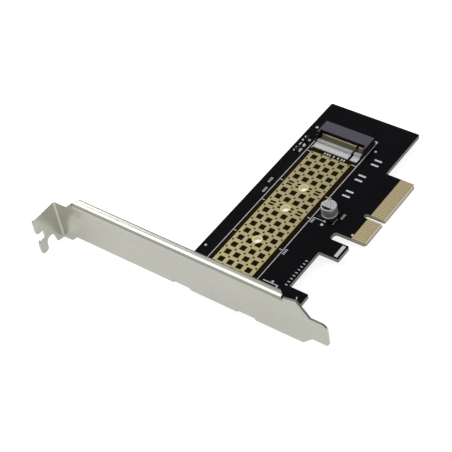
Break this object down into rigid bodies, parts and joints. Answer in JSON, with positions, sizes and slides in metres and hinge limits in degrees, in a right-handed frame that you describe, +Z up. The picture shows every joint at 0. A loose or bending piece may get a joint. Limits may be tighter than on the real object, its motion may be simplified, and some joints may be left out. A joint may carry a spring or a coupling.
{
  "type": "nvme adapter card",
  "caption": "Black expansion card that carries a gum-stick solid state drive, with drive socket, gold pad field, edge contacts and a full-height slot bracket.",
  "frame": {"origin": "middle of the underside of the bounding box, board lying flat with its component side up", "axes": "+X from the bracket toward the socket end, +Y toward the bracket's screw tab, +Z up from the component side"},
  "size_m": [0.1172, 0.1208, 0.0233],
  "materials": {
    "board_black": "gloss solder mask on glass-fibre board",
    "gold": "thin gold plate, satin",
    "bracket_metal": "satin nickel plate",
    "screw_metal": "bright nickel plate",
    "housing_black": "fine satin moulding",
    "tin": "bright tin",
    "can_metal": "bright drawn can, its black end mark printed",
    "base_black": "satin moulding",
    "body_black": "matt moulding",
    "chip_ceramic": "matt"
  },
  "bodies": {
    "root": {"circuit_board": "board_black", "edge_contacts_upper": "gold", "edge_contacts_lower": "gold", "drive_hole_rings": "gold", "pad_field": "gold", "bracket": "bracket_metal", "bracket_screws": "screw_metal", "socket_housing": "housing_black", "socket_front_contacts": "tin", "socket_rear_contacts": "tin", "socket_hold_downs": "tin", "socket_lead_pads": "tin", "solder_pads": "tin", "capacitor_base": "base_black", "capacitor_can": "can_metal", "capacitor_terminals": "tin", "transistor_bodies": "body_black", "transistor_leads": "tin", "chip_body": "chip_ceramic", "chip_ends": "tin"}
  },
  "joints": []
}
